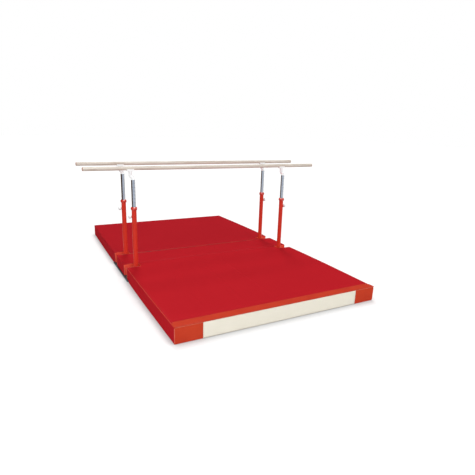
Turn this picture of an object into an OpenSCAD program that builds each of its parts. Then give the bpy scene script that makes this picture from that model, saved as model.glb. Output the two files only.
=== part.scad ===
// Parallel bars for gymnastics: two oval rails on four telescopic uprights, a steel
// floor frame, and a set of landing mats cut to fit round the uprights.
// Millimetres, +Z up. X runs along the rails and Y across them. The origin is on the
// floor, midway between the four uprights. Front is -Y, rear is +Y, left is -X.

/* [Layout] */
// Spacing of the uprights along the rails
span_x = 2330; // [2000:10:2500]
// Spacing of the uprights across the rails
span_y = 596; // [560:2:700]
// Height of the front rail's centre line above the floor
rail_z = 1487; // [1440:1:1700]
// How much higher the rear rail is set than the front one
rear_raise = 10; // [-50:1:50]

/* [Rails] */
// Length of a rail over its end caps
rail_len = 3500; // [3000:10:3600]
// Width of the oval section
rail_w = 41; // [36:0.5:46]
// Height of the oval section
rail_h = 50; // [48:0.5:58]
// Diameter of the glass-fibre core
core_d = 20; // [12:1:24]
// Radial gap between core and timber
core_clear = 0.05; // [0.02:0.01:0.2]
// Length of an end cap
cap_len = 12; // [8:1:20]
// Length of the cap's straight skirt
cap_skirt = 4; // [2:0.5:7]
// How far the cap's end face is drawn in all round
cap_inset = 7; // [3:0.5:10]

/* [Saddles] */
// Length of a saddle along the rail
saddle_len = 92; // [90:1:160]
// Length of its flat underside
saddle_foot = 74; // [72:1:90]
// Thickness of saddle under the rail
saddle_t = 12; // [12:0.5:30]
// Height at which the saddle's flared sides reach their full width
saddle_flare = 8; // [6:0.5:16]
// How far the cradle climbs the rail's sides
saddle_wrap = 14; // [5:0.5:16]
// Cradle wall beside the rail
saddle_wall = 3; // [2:0.5:5]
// Gap between rail and cradle
seat_clear = 0.05; // [0.02:0.01:0.2]
// Distance of the two saddle screws from the pivot
saddle_screw_x = 29; // [26:1:29]
// Saddle screw diameter
saddle_screw_d = 6; // [4:0.5:8]
// Saddle screw head diameter
saddle_head_d = 12; // [9:0.5:14]
// Saddle screw head height
saddle_head_h = 3.5; // [2:0.5:5]
// How far a saddle screw goes into the timber
saddle_screw_bite = 11; // [6:0.5:12]

/* [Swan necks] */
// Sideways offset between upright and saddle pivot
neck_offset = 30; // [20:1:50]
// Angle by which a neck leans inwards from the rail's direction
neck_angle = 12; // [0:1:40]
// Height from the chrome tube's top to the saddle's underside
neck_h = 109; // [85:1:140]
// Diameter of the bent neck
neck_d = 46; // [36:1:50]
// Diameter of the ring that sits on the tube
shoulder_d = 55; // [51:1:64]
// Height of that ring
shoulder_h = 9; // [6:0.5:14]
// Straight length under the saddle
neck_straight = 46; // [30:1:50]
// How far the forged knuckle between the two arcs stands proud
neck_knuckle = 0.4; // [0.3:0.1:1.5]
// Length of the spigot in the tube
spigot_len = 90; // [60:1:140]
// Pivot pin diameter
pivot_d = 18; // [12:1:24]
// Depth of the pivot pin in the neck
pivot_sunk = 20; // [14:1:28]
// Height of the pivot pin above the neck
pivot_rise = 9; // [6:0.5:10]
// Gap between the neck's top and the saddle
pivot_gap = 0.5; // [0.3:0.1:2]
// Radial running gap of a left saddle on its pin
pivot_clear = 0.08; // [0.03:0.01:0.1]
// Radial gap of a right saddle on its pin, which takes up the rail's stretch
loose_clear = 0.5; // [0.3:0.1:1]

/* [Uprights] */
// Outer tube diameter
outer_d = 64; // [62:0.5:70]
// Outer tube wall
outer_wall = 3; // [2.5:0.1:3.4]
// Chrome inner tube diameter
inner_d = 52; // [50:0.5:54.5]
// Inner tube wall
inner_wall = 3; // [2:0.1:4]
// Inner tube length
inner_len = 1060; // [900:5:1080]
// Radial running gap of sliding pieces
slide_clear = 0.08; // [0.03:0.01:0.1]
// Radial gap of pressed pieces
press_clear = 0.05; // [0.02:0.01:0.1]
// Height of the collar's middle above the floor
collar_z = 961; // [900:1:1000]
// Collar diameter
collar_d = 84; // [82:0.5:92]
// Collar height
collar_h = 44; // [36:0.5:48]
// Rounding of the collar's bead
collar_round = 14; // [5:0.5:14]
// Thickness of the collar's top lip
collar_lip = 4; // [3:0.5:6]
// Gap between the lip and the chrome tube
lip_clear = 0.8; // [0.5:0.1:1]
// Length of the guide bush in the outer tube
bush_len = 60; // [40:1:80]
// Thickness of the bush's flange
bush_flange = 3; // [2:0.5:5]
// Height of the guide ring at the inner tube's foot
plug_h = 14; // [10:1:30]
// Length of the plug above that ring
plug_len = 30; // [20:1:50]
// Angle of the collar screw, seen from above, from +X
collar_screw_angle = -70; // [-90:1:-50]
// Collar screw diameter
collar_screw_d = 8; // [6:1:10]
// Collar screw head diameter
collar_head_d = 13; // [11:0.5:16]
// Collar screw head height
collar_head_h = 5; // [4:0.5:8]
// Size of the screw's hexagon socket across its corners
collar_hex = 6.4; // [4:0.2:8]
// Diameter of the boss round the collar screw
collar_boss_d = 20; // [18:0.5:26]
// How far that boss stands out of the collar
collar_boss_out = 4; // [2:0.5:8]

/* [Clamp knobs] */
// Distance of the knob below the collar's middle
knob_drop = 107; // [85:1:200]
// Diameter of the threaded boss on the outer tube
boss_d = 28; // [24:0.5:36]
// Length of that boss outside the tube
boss_len = 6; // [5:0.5:30]
// Clamp stud diameter
stud_d = 12; // [8:0.5:16]
// Gap between the stud's tip and the chrome tube
tip_clear = 0.4; // [0.3:0.1:1]
// Gap between boss and knob
knob_gap = 1; // [1:0.5:6]
// Knob diameter
knob_d = 50; // [40:1:60]
// Knob thickness
knob_t = 32; // [26:1:40]
// Rounding of the knob's rims
knob_round = 12; // [3:0.5:13]
// Diameter of the hub behind the knob
hub_d = 26; // [20:0.5:34]
// Length of that hub
hub_len = 4; // [4:0.5:14]
// Number of finger scallops
scallops = 6; // [5:1:8]
// Diameter of a finger scallop
scallop_d = 16; // [10:0.5:18]
// Depth of a finger scallop
scallop_depth = 3; // [1.5:0.5:5]

/* [Floor frame] */
// Length of an end plate along the rails
plate_x = 318; // [310:2:420]
// Width of an end plate across the rails
plate_y = 912; // [860:2:1000]
// End plate thickness
plate_t = 15; // [10:0.5:20]
// End plate corner radius
plate_r = 40; // [20:1:60]
// Rubber sole thickness
sole_t = 5; // [3:0.5:10]
// How far the sole stays in from the plate's edge
sole_inset = 6; // [3:0.5:12]
// Side of a socket's square flange
flange_w = 124; // [118:1:124]
// Flange thickness
flange_t = 12; // [8:0.5:16]
// Flange corner radius
flange_r = 14; // [8:1:20]
// Socket hub diameter
socket_d = 78; // [72:1:84]
// Socket height above the flange
socket_h = 86; // [60:1:100]
// Diameter of the weld cone at the hub's foot
cone_d = 96; // [90:1:104]
// Height of that cone
cone_h = 20; // [10:1:30]
// Spacing of the four flange bolts
flange_bolt_gap = 92; // [88:1:96]
// Bolt diameter
bolt_d = 12; // [8:1:14]
// Radial gap round a bolt
bolt_clear = 0.25; // [0.1:0.05:0.6]
// Bolt head size across its corners
bolt_head_d = 21; // [16:0.5:23]
// Bolt head height
bolt_head_h = 7.5; // [5:0.5:9]
// Washer diameter
washer_d = 24; // [18:0.5:25]
// Washer thickness
washer_t = 2; // [1:0.5:3]
// Side beam width
beam_w = 80; // [60:1:90]
// Side beam height
beam_h = 50; // [40:1:60]
// Side beam wall
beam_wall = 3; // [2:0.5:5]
// Side beam corner radius
beam_r = 8; // [6:0.5:12]
// Gap between a beam's end cap and the socket flange
beam_gap = 4; // [2:0.5:10]
// Distance of the first beam bolt from the beam's end
beam_bolt_in = 28; // [22:1:40]
// Spacing of the two bolts at each end of a beam
beam_bolt_gap = 42; // [36:1:46]
// Thickness of a beam's plastic end cap
beam_cap_t = 3; // [2:0.5:6]
// Length of that cap's plug
beam_cap_plug = 14; // [8:1:18]
// Gap round that plug
beam_cap_clear = 0.2; // [0.1:0.05:0.5]

/* [Mats] */
// Length of the mats along the rails
mat_x = 2600; // [2520:10:2620]
// Depth of a landing mat
mat_y = 2000; // [1500:10:2400]
// Mat thickness
mat_t = 180; // [120:5:200]
// Gap between the centre mat and the socket flanges
centre_gap = 6; // [4:0.5:30]
// Gap between neighbouring mats
mat_gap = 3; // [1:0.5:8]
// Rounding of the mats' edges
mat_round = 12; // [6:1:20]
// Gap between a notch and the socket hub along the rails
notch_gap = 8; // [4:0.5:30]
// Gap between a notch and the socket flange across the rails
notch_gap_y = 7; // [4:0.5:40]
// Air over whatever lies under a mat
under_clear = 3; // [2:0.5:8]
// Air beside whatever lies under a mat
side_clear = 10; // [4:0.5:20]
// Depth of the joining flap on top of the front mat
flap_y = 120; // [80:1:200]
// Joining flap thickness
flap_t = 3; // [2:0.5:5]
// Rounding of the flap's free corners
flap_r = 40; // [10:1:60]
// Air under the flap
flap_gap = 0.5; // [0.3:0.1:2]
// Width of the loop panel on the front mat's face
panel_x = 2000; // [1600:10:2400]
// Loop panel thickness
panel_t = 2; // [1:0.5:3]
// Distance of the loop panel from the floor and from the mat's top
panel_edge = 3; // [2:1:20]

/* [Hidden] */
$fn = 48;
hull_fn = 24;
// Corner name, side along X, side along Y
corners = [["fl", -1, -1], ["fr", 1, -1], ["rl", -1, 1], ["rr", 1, 1]];
// Side name, side along Y
sides = [["front", -1], ["rear", 1]];
// End name, side along X
ends = [["left", -1], ["right", 1]];
eps = 1;

// Heights
plate_top = sole_t + plate_t;
flange_top = plate_top + flange_t;
beam_top = plate_top + beam_h;
rail_bottom = rail_z - rail_h / 2;
saddle_bottom = rail_bottom - saddle_t;
neck_top = saddle_bottom - pivot_gap;
tube_top = saddle_bottom - neck_h;
collar_top = collar_z + collar_h / 2;
bush_top = collar_top - collar_lip;
outer_top = bush_top - bush_flange;
knob_z = collar_z - knob_drop;

// Radii and bores
outer_bore = outer_d / 2 - outer_wall;
inner_bore = inner_d / 2 - inner_wall;
boss_face = outer_d / 2 + boss_len;

// The S of a neck is two equal arcs that meet in a knuckle
bend_h = neck_top - neck_straight - tube_top - shoulder_h;
bend_angle = 2 * atan(neck_offset / bend_h);
bend_r = bend_h / (2 * sin(bend_angle));

// Plan positions
plate_in = span_x / 2 - plate_x / 2;
beam_end = span_x / 2 - flange_w / 2 - beam_gap - beam_cap_t;
centre_y = span_y - flange_w - 2 * centre_gap;
mat_in = centre_y / 2 + mat_gap;
mat_out = mat_in + mat_y;
notch_x = span_x / 2 - socket_d / 2 - notch_gap;
flange_in = span_x / 2 - flange_w / 2 - side_clear;
notch_y = span_y / 2 + flange_w / 2 + notch_gap_y - mat_in;
rail_shift = neck_offset * cos(neck_angle);
rail_y = span_y / 2 - neck_offset * sin(neck_angle);
flap_hinge_y = mat_out + panel_t + flap_t;
flap_z = mat_t + flap_gap;

function corner_names(stem) = [for (c = corners) str(stem, c[0])];

// Shared shapes

module at_upright(c) {
    translate([c[1] * span_x / 2, c[2] * span_y / 2, 0]) children();
}

// Puts a shape made on the +X side onto either end
module on_side_x(side) {
    mirror([side < 0 ? 1 : 0, 0, 0]) children();
}

// Lifts what moves with the rear rail
module raised(sy) {
    translate([0, 0, sy > 0 ? rear_raise : 0]) children();
}

// Moves from an upright's axis to its saddle pivot
module at_pivot(c) {
    raised(c[2]) at_upright(c) rotate([0, 0, c[2] * neck_angle]) translate([-neck_offset, 0, 0])
        rotate([0, 0, -c[2] * neck_angle]) children();
}

module ring(r_out, r_in, h) {
    difference() {
        cylinder(r = r_out, h = h);
        translate([0, 0, -eps]) cylinder(r = r_in, h = h + 2 * eps);
    }
}

module rounded_rect(x, y, r) {
    square([x - 2 * r, y], center = true);
    square([x, y - 2 * r], center = true);
    for (sx = [-1, 1], sy = [-1, 1])
        translate([sx * (x / 2 - r), sy * (y / 2 - r)]) circle(r = r);
}

// Oval rail section, grown by a margin
module oval(grow) {
    r = rail_w / 2 + grow;
    rise = (rail_h - rail_w) / 2;
    translate([0, rise]) circle(r = r);
    translate([0, -rise]) circle(r = r);
    square([2 * r, 2 * rise], center = true);
}

// Runs a YZ outline along X, centred
module along_x(length) {
    rotate([90, 0, 90]) translate([0, 0, -length / 2]) linear_extrude(length) children();
}

module hex_bolt(grip, bite) {
    translate([0, 0, -grip - bite]) cylinder(d = bolt_d, h = grip + bite + washer_t);
    cylinder(d = washer_d, h = washer_t);
    translate([0, 0, washer_t]) cylinder(d = bolt_head_d, h = bolt_head_h, $fn = 6);
}

module flange_bolt_places() {
    for (sx = [-1, 1], sy = [-1, 1])
        translate([sx * flange_bolt_gap / 2, sy * flange_bolt_gap / 2, 0]) children();
}

module beam_bolt_places() {
    for (sx = [-1, 1], k = [0, 1])
        translate([sx * (beam_end - beam_bolt_in - k * beam_bolt_gap), 0, 0]) children();
}

// Floor frame

module end_plate(side) {
    color("#4a4c52") difference() {
        translate([side * span_x / 2, 0, sole_t])
            linear_extrude(plate_t) rounded_rect(plate_x, plate_y, plate_r);
        for (c = corners) at_upright(c) flange_bolt_places()
            cylinder(d = bolt_d + 2 * bolt_clear, h = plate_top + eps);
        for (sy = [-1, 1]) translate([0, sy * span_y / 2, 0]) beam_bolt_places()
            cylinder(d = bolt_d + 2 * bolt_clear, h = plate_top + eps);
    }
}

module rubber_soles() {
    color("#26272a") for (e = ends) translate([e[1] * span_x / 2, 0, 0]) linear_extrude(sole_t)
        rounded_rect(plate_x - 2 * sole_inset, plate_y - 2 * sole_inset, plate_r - sole_inset);
}

module side_beam(sy) {
    color("#c3262b") translate([0, sy * span_y / 2, plate_top]) difference() {
        translate([0, 0, beam_h / 2]) along_x(2 * beam_end) difference() {
            rounded_rect(beam_w, beam_h, beam_r);
            rounded_rect(beam_w - 2 * beam_wall, beam_h - 2 * beam_wall, beam_r - beam_wall);
        }
        beam_bolt_places()
            translate([0, 0, -eps]) cylinder(d = bolt_d + 2 * bolt_clear, h = beam_h + 2 * eps);
    }
}

module beam_bolts() {
    color("#9a9da2") for (s = sides) translate([0, s[1] * span_y / 2, beam_top])
        beam_bolt_places() hex_bolt(beam_h, plate_t);
}

module beam_end_caps() {
    gap = beam_wall + beam_cap_clear;
    color("#1f2023") for (s = sides, e = ends)
        translate([0, s[1] * span_y / 2, plate_top + beam_h / 2]) on_side_x(e[1]) {
            translate([beam_end + beam_cap_t / 2, 0, 0])
                along_x(beam_cap_t) rounded_rect(beam_w, beam_h, beam_r);
            translate([beam_end - beam_cap_plug / 2, 0, 0])
                along_x(beam_cap_plug)
                    rounded_rect(beam_w - 2 * gap, beam_h - 2 * gap, beam_r - beam_wall);
        }
}

module upright_socket(c) {
    color("#c3262b") at_upright(c) translate([0, 0, plate_top]) difference() {
        union() {
            linear_extrude(flange_t) rounded_rect(flange_w, flange_w, flange_r);
            cylinder(d = socket_d, h = flange_t + socket_h);
            translate([0, 0, flange_t]) cylinder(d1 = cone_d, d2 = socket_d, h = cone_h);
        }
        translate([0, 0, -eps])
            cylinder(r = outer_d / 2 + press_clear, h = flange_t + socket_h + 2 * eps);
        flange_bolt_places()
            translate([0, 0, -eps]) cylinder(d = bolt_d + 2 * bolt_clear, h = flange_t + 2 * eps);
    }
}

module flange_bolts() {
    color("#9a9da2") for (c = corners) at_upright(c)
        translate([0, 0, flange_top]) flange_bolt_places() hex_bolt(flange_t, plate_t);
}

// Uprights

module outer_tube(c) {
    color("#c3262b") at_upright(c) difference() {
        union() {
            translate([0, 0, plate_top]) cylinder(d = outer_d, h = outer_top - plate_top);
            translate([0, 0, knob_z]) on_side_x(c[1]) rotate([0, 90, 0])
                cylinder(d = boss_d, h = boss_face);
        }
        translate([0, 0, plate_top - eps])
            cylinder(r = outer_bore, h = outer_top - plate_top + 2 * eps);
        translate([0, 0, knob_z]) on_side_x(c[1]) rotate([0, 90, 0])
            cylinder(r = stud_d / 2 + slide_clear, h = boss_face + eps);
    }
}

// Half section of the collar: a rounded bead on the outer tube and a lip over its end
module collar_profile() {
    wall_in = outer_d / 2 + press_clear;
    lip_in = inner_d / 2 + lip_clear;
    bead = collar_d / 2 - collar_round;
    intersection() {
        union() {
            square([bead, collar_h]);
            translate([bead, collar_round]) square([collar_round, collar_h - 2 * collar_round]);
            for (y = [collar_round, collar_h - collar_round])
                translate([bead, y]) circle(r = collar_round);
        }
        union() {
            translate([wall_in, 0]) square([collar_d, collar_h]);
            translate([lip_in, collar_h - collar_lip]) square([collar_d, collar_lip]);
        }
    }
}

// Turns +X towards the collar screw
module at_collar_screw() {
    translate([0, 0, collar_z]) rotate([0, 0, collar_screw_angle]) rotate([0, 90, 0]) children();
}

module collar(c) {
    seat = outer_d / 2 + press_clear;
    color("#c3262b") at_upright(c) difference() {
        union() {
            translate([0, 0, collar_z - collar_h / 2]) rotate_extrude() collar_profile();
            at_collar_screw() translate([0, 0, seat + eps])
                cylinder(d = collar_boss_d, h = collar_d / 2 + collar_boss_out - seat - eps);
        }
        at_collar_screw() cylinder(r = collar_screw_d / 2 + bolt_clear, h = collar_d);
    }
}

module collar_screws() {
    face = collar_d / 2 + collar_boss_out;
    color("#b9bcc1") for (c = corners) at_upright(c) at_collar_screw() difference() {
        union() {
            translate([0, 0, outer_d / 2 + press_clear])
                cylinder(d = collar_screw_d, h = face - outer_d / 2);
            translate([0, 0, face]) cylinder(d = collar_head_d, h = collar_head_h);
        }
        translate([0, 0, face + collar_head_h / 2])
            cylinder(d = collar_hex, h = collar_head_h, $fn = 6);
    }
}

module guide_bushes() {
    inside = inner_d / 2 + slide_clear;
    color("#d8d8d4") for (c = corners) at_upright(c) {
        translate([0, 0, outer_top - bush_len])
            ring(outer_bore - press_clear, inside, bush_len + bush_flange);
        translate([0, 0, outer_top]) ring(outer_d / 2, inside, bush_flange);
    }
}

module inner_tube(c) {
    color("#c9ccd0") raised(c[2]) at_upright(c) translate([0, 0, tube_top - inner_len])
        ring(inner_d / 2, inner_bore, inner_len);
}

module tube_plug(c) {
    color("#2b2c2f") raised(c[2]) at_upright(c) translate([0, 0, tube_top - inner_len]) {
        translate([0, 0, -plug_h]) cylinder(r = outer_bore - slide_clear, h = plug_h);
        cylinder(r = inner_bore - press_clear, h = plug_len);
    }
}

// One arc of the neck: starts upright at the origin and leans towards -X
module neck_arc() {
    translate([-bend_r, 0, 0]) rotate([90, 0, 0])
        rotate_extrude(angle = bend_angle) translate([bend_r, 0]) circle(d = neck_d);
}

module swan_neck(c) {
    color("#f2f2ef") raised(c[2]) at_upright(c) rotate([0, 0, c[2] * neck_angle]) difference() {
        union() {
            translate([0, 0, tube_top - spigot_len])
                cylinder(r = inner_bore - slide_clear, h = spigot_len + shoulder_h / 2);
            translate([0, 0, tube_top]) cylinder(d = shoulder_d, h = shoulder_h);
            translate([0, 0, tube_top + shoulder_h]) {
                neck_arc();
                translate([-neck_offset / 2, 0, bend_h / 2]) sphere(r = neck_d / 2 + neck_knuckle);
                translate([-neck_offset, 0, bend_h]) rotate([0, 180, 0]) neck_arc();
                translate([-neck_offset, 0, bend_h]) cylinder(d = neck_d, h = neck_straight);
            }
        }
        translate([-neck_offset, 0, neck_top - pivot_sunk])
            cylinder(r = pivot_d / 2 + press_clear, h = pivot_sunk + eps);
    }
}

module pivot_pin(c) {
    color("#9a9da2") at_pivot(c) translate([0, 0, neck_top - pivot_sunk])
        cylinder(d = pivot_d, h = pivot_sunk + pivot_rise);
}

// Rails

module saddle_screw_places() {
    for (s = [-1, 1]) translate([s * saddle_screw_x, 0, 0]) children();
}

module saddle_outline() {
    half = rail_w / 2 + saddle_wall;
    foot = neck_d / 2;
    top = saddle_t + saddle_wrap;
    polygon([[-foot, 0], [foot, 0], [half, saddle_flare], [half, top], [-half, top],
        [-half, saddle_flare]]);
}

module saddle_side() {
    top = saddle_t + saddle_wrap;
    polygon([[-saddle_foot / 2, 0], [saddle_foot / 2, 0], [saddle_len / 2, saddle_flare],
        [saddle_len / 2, top], [-saddle_len / 2, top], [-saddle_len / 2, saddle_flare]]);
}

module saddle(c) {
    gap = c[1] < 0 ? pivot_clear : loose_clear;
    color("#f2f2ef") at_pivot(c) difference() {
        translate([0, 0, saddle_bottom]) intersection() {
            along_x(saddle_len) saddle_outline();
            rotate([90, 0, 0]) translate([0, 0, -rail_w]) linear_extrude(2 * rail_w) saddle_side();
        }
        translate([0, 0, rail_z]) along_x(saddle_len + 2 * eps) oval(seat_clear);
        translate([0, 0, saddle_bottom - eps])
            cylinder(r = pivot_d / 2 + gap, h = pivot_rise + 2 * eps);
        saddle_screw_places() translate([0, 0, saddle_bottom - eps]) {
            cylinder(r = saddle_screw_d / 2 + bolt_clear, h = saddle_t + 2 * eps);
            cylinder(r = saddle_head_d / 2 + bolt_clear, h = saddle_head_h + eps);
        }
    }
}

module saddle_screws(sy) {
    color("#9a9da2") for (c = corners) if (c[2] == sy) at_pivot(c) saddle_screw_places()
        translate([0, 0, saddle_bottom]) {
            cylinder(d = saddle_screw_d, h = saddle_t + saddle_screw_bite);
            cylinder(d = saddle_head_d, h = saddle_head_h);
        }
}

// Puts a shape made about a rail's own middle in its place
module at_rail(sy) {
    raised(sy) translate([-rail_shift, sy * rail_y, rail_z]) children();
}

module rail(sy) {
    color("#d9cdbd") difference() {
        at_rail(sy) along_x(rail_len - 2 * cap_len) difference() {
            oval(0);
            circle(r = core_d / 2 + core_clear);
        }
        for (c = corners) if (c[2] == sy) at_pivot(c) saddle_screw_places()
            translate([0, 0, rail_bottom - eps])
                cylinder(d = saddle_screw_d + 2 * bolt_clear, h = saddle_screw_bite + 2 * eps);
    }
}

module rail_core(sy) {
    color("#c9c48f") at_rail(sy) along_x(rail_len - 2 * cap_len) circle(d = core_d);
}

module rail_caps(sy) {
    color("#9a6a55") at_rail(sy) for (e = ends) on_side_x(e[1]) hull() {
        translate([rail_len / 2 - cap_len + cap_skirt / 2, 0, 0]) along_x(cap_skirt) oval(0);
        translate([rail_len / 2 - cap_skirt / 2, 0, 0]) along_x(cap_skirt) oval(-cap_inset);
    }
}

// Clamp knobs

module knob_profile() {
    r = knob_d / 2;
    square([r - knob_round, knob_t]);
    translate([0, knob_round]) square([r, knob_t - 2 * knob_round]);
    for (y = [knob_round, knob_t - knob_round]) translate([r - knob_round, y]) circle(r = knob_round);
}

module clamp_knob(c) {
    tip = inner_d / 2 + tip_clear;
    hub = boss_face + knob_gap;
    color("#f4f4f2") at_upright(c) translate([0, 0, knob_z]) on_side_x(c[1]) rotate([0, 90, 0]) {
        translate([0, 0, tip]) cylinder(d = stud_d, h = hub - tip + hub_len);
        translate([0, 0, hub]) cylinder(d = hub_d, h = hub_len + eps);
        translate([0, 0, hub + hub_len]) difference() {
            rotate_extrude() knob_profile();
            for (k = [0 : scallops - 1]) rotate([0, 0, k * 360 / scallops])
                translate([(knob_d + scallop_d) / 2 - scallop_depth, 0, -eps])
                    cylinder(d = scallop_d, h = knob_t + 2 * eps);
        }
    }
}

// Mats

// A slab on the floor with rounded upper edges and corners
module slab(x, y_low, y_high) {
    hull() for (sx = [-1, 1], y = [y_low + mat_round, y_high - mat_round])
        translate([sx * (x / 2 - mat_round), y, 0]) {
            cylinder(r = mat_round, h = eps, $fn = hull_fn);
            translate([0, 0, mat_t - mat_round]) sphere(r = mat_round, $fn = hull_fn);
        }
}

// Pocket under a mat over one end plate, reaching past the mat's end
module plate_pocket(side, y_low, y_high) {
    on_side_x(side) translate([plate_in - side_clear, y_low, -eps])
        cube([plate_x + mat_x, y_high - y_low, plate_top + under_clear + eps]);
}

module landing_mat(sy) {
    beam_half = beam_w / 2 + side_clear;
    head_h = washer_t + bolt_head_h + under_clear;
    color("#b7212a") mirror([0, sy < 0 ? 1 : 0, 0]) difference() {
        slab(mat_x, mat_in, mat_out);
        for (e = ends) on_side_x(e[1]) translate([notch_x, mat_in - eps, -eps])
            cube([mat_x, notch_y + eps, mat_t + 2 * eps]);
        for (e = ends) plate_pocket(e[1], mat_in - eps, plate_y / 2 + side_clear);
        for (e = ends) on_side_x(e[1]) translate([flange_in, mat_in - eps, -eps])
            cube([mat_x, notch_y + eps, flange_top + head_h + eps]);
        translate([-mat_x, mat_in - eps, -eps])
            cube([2 * mat_x, span_y / 2 + beam_half - mat_in + eps, beam_top + head_h + eps]);
    }
}

module centre_mat() {
    color("#b7212a") difference() {
        slab(mat_x, -centre_y / 2, centre_y / 2);
        for (e = ends) plate_pocket(e[1], -centre_y, centre_y);
    }
}

module joining_flap() {
    half = mat_x / 2;
    color("#c5402b") translate([0, -flap_hinge_y, flap_z]) linear_extrude(flap_t) {
        translate([-half, 0]) square([mat_x, flap_y - flap_r]);
        translate([-half + flap_r, 0]) square([mat_x - 2 * flap_r, flap_y]);
        for (sx = [-1, 1]) translate([sx * (half - flap_r), flap_y - flap_r]) circle(r = flap_r);
    }
}

module loop_panel() {
    color("#e6e0d0") translate([-panel_x / 2, -mat_out - panel_t, panel_edge])
        cube([panel_x, panel_t, mat_t - 2 * panel_edge]);
}

end_plate(-1);  // end_plate_left
end_plate(1);  // end_plate_right
rubber_soles();
beam_bolts();
beam_end_caps();
flange_bolts();
collar_screws();
guide_bushes();
centre_mat();
joining_flap();
loop_panel();
for (s = sides) {
    side_beam(s[1]);
    rail(s[1]);
    rail_core(s[1]);
    rail_caps(s[1]);
    saddle_screws(s[1]);
    landing_mat(s[1]);
}
for (c = corners) {
    upright_socket(c);
    outer_tube(c);
    collar(c);
    inner_tube(c);
    tube_plug(c);
    swan_neck(c);
    pivot_pin(c);
    saddle(c);
    clamp_knob(c);
}
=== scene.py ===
# %% [markdown]
# # Parallel bars with landing mats
# Two timber rails stand on four telescopic uprights, and a set of red mats fits round their feet.
# The rigid pieces come from the CAD frame and only get finishes here. The mats, flap and loop
# panel are soft, so they are made again as padded covers and cloth. Everything is in metres, X
# runs along the rails, Y across them, and the floor is Z = 0.

# %% Load the fixed frame
import math

import bmesh
import bpy
import numpy as np
from mathutils import Matrix, Vector, noise
from mathutils.bvhtree import BVHTree


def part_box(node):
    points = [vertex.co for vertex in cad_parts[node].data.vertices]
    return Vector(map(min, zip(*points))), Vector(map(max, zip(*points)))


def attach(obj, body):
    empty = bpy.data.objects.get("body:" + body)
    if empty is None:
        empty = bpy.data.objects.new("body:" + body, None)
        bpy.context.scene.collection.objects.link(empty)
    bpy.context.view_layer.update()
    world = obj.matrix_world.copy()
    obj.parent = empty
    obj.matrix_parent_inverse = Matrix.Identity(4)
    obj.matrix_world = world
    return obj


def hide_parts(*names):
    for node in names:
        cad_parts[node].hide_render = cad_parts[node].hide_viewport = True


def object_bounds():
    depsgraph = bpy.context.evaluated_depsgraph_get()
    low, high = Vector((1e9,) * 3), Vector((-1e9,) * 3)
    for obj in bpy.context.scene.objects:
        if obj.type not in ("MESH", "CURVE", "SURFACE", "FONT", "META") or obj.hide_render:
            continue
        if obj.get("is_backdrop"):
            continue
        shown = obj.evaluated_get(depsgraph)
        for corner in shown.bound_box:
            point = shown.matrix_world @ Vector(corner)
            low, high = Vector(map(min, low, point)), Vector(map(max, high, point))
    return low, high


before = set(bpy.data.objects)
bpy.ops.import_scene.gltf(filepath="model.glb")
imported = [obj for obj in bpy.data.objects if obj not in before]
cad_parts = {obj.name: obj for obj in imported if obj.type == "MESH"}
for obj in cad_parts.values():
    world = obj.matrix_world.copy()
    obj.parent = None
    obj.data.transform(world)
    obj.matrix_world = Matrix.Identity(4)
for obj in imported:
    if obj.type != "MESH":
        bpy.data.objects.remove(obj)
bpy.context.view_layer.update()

scene = bpy.context.scene

# %% [markdown]
# ## Camera
# The picture was taken from the front left, a little above eye level, with a short lens. The
# camera's place and turn were found by matching known points of the object with the picture.
# Building the matrix from three axes keeps the small roll, which a tracking constraint would lose.

# %% Camera
eye = Vector((-2.4578, -5.5739, 2.0280))
yaw, pitch, roll = (math.radians(a) for a in (28.443, 15.081, 1.836))
forward = Vector((math.sin(yaw) * math.cos(pitch), math.cos(yaw) * math.cos(pitch),
                  -math.sin(pitch)))
level_right = Vector((math.cos(yaw), -math.sin(yaw), 0))
level_up = level_right.cross(forward)
right = math.cos(roll) * level_right + math.sin(roll) * level_up
up = math.cos(roll) * level_up - math.sin(roll) * level_right

camera = bpy.data.objects.new("camera", bpy.data.cameras.new("camera"))
camera.data.sensor_width = 36
camera.data.lens = 30.774
camera.data.clip_end = 200
turn = Matrix((right, up, -forward)).transposed().to_4x4()
camera.matrix_world = Matrix.Translation(eye) @ turn
scene.collection.objects.link(camera)
scene.camera = camera
scene.view_settings.view_transform = "Standard"
print("camera:", [round(c, 3) for c in eye], "lens", camera.data.lens)

# %% [markdown]
# ## Small helpers
# Nearly every step makes mesh objects, materials or nodes, so short functions for them come first.
# A node's inputs are given as one table: a plain value is set on its socket, and a value that is
# itself a socket is linked.

# %% Mesh objects, materials and nodes


def mesh_object(name, verts, faces=(), edges=()):
    """A new mesh object at the origin, linked to the scene."""
    mesh = bpy.data.meshes.new(name)
    mesh.from_pydata([tuple(v) for v in verts], edges, faces)
    mesh.validate()
    obj = bpy.data.objects.new(name, mesh)
    scene.collection.objects.link(obj)
    return obj


def new_material(name):
    """A material with nodes; returns it, its tree and its Principled shader."""
    material = bpy.data.materials.new(name)
    material.use_nodes = True
    return material, material.node_tree, material.node_tree.nodes["Principled BSDF"]


def fill(node, values):
    """Sets or links a node's inputs."""
    for label, value in values.items():
        if isinstance(value, bpy.types.NodeSocket):
            node.id_data.links.new(value, node.inputs[label])
        else:
            node.inputs[label].default_value = value
    return node


def add_node(tree, kind, values=None, **settings):
    """A node with its settings made and its inputs filled."""
    node = tree.nodes.new(kind)
    for key, value in settings.items():
        setattr(node, key, value)
    return fill(node, values or {})


def calc(tree, operation, first, second):
    """Output of a maths node on two numbers or sockets."""
    return add_node(tree, "ShaderNodeMath", {0: first, 1: second}, operation=operation).outputs[0]


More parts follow.
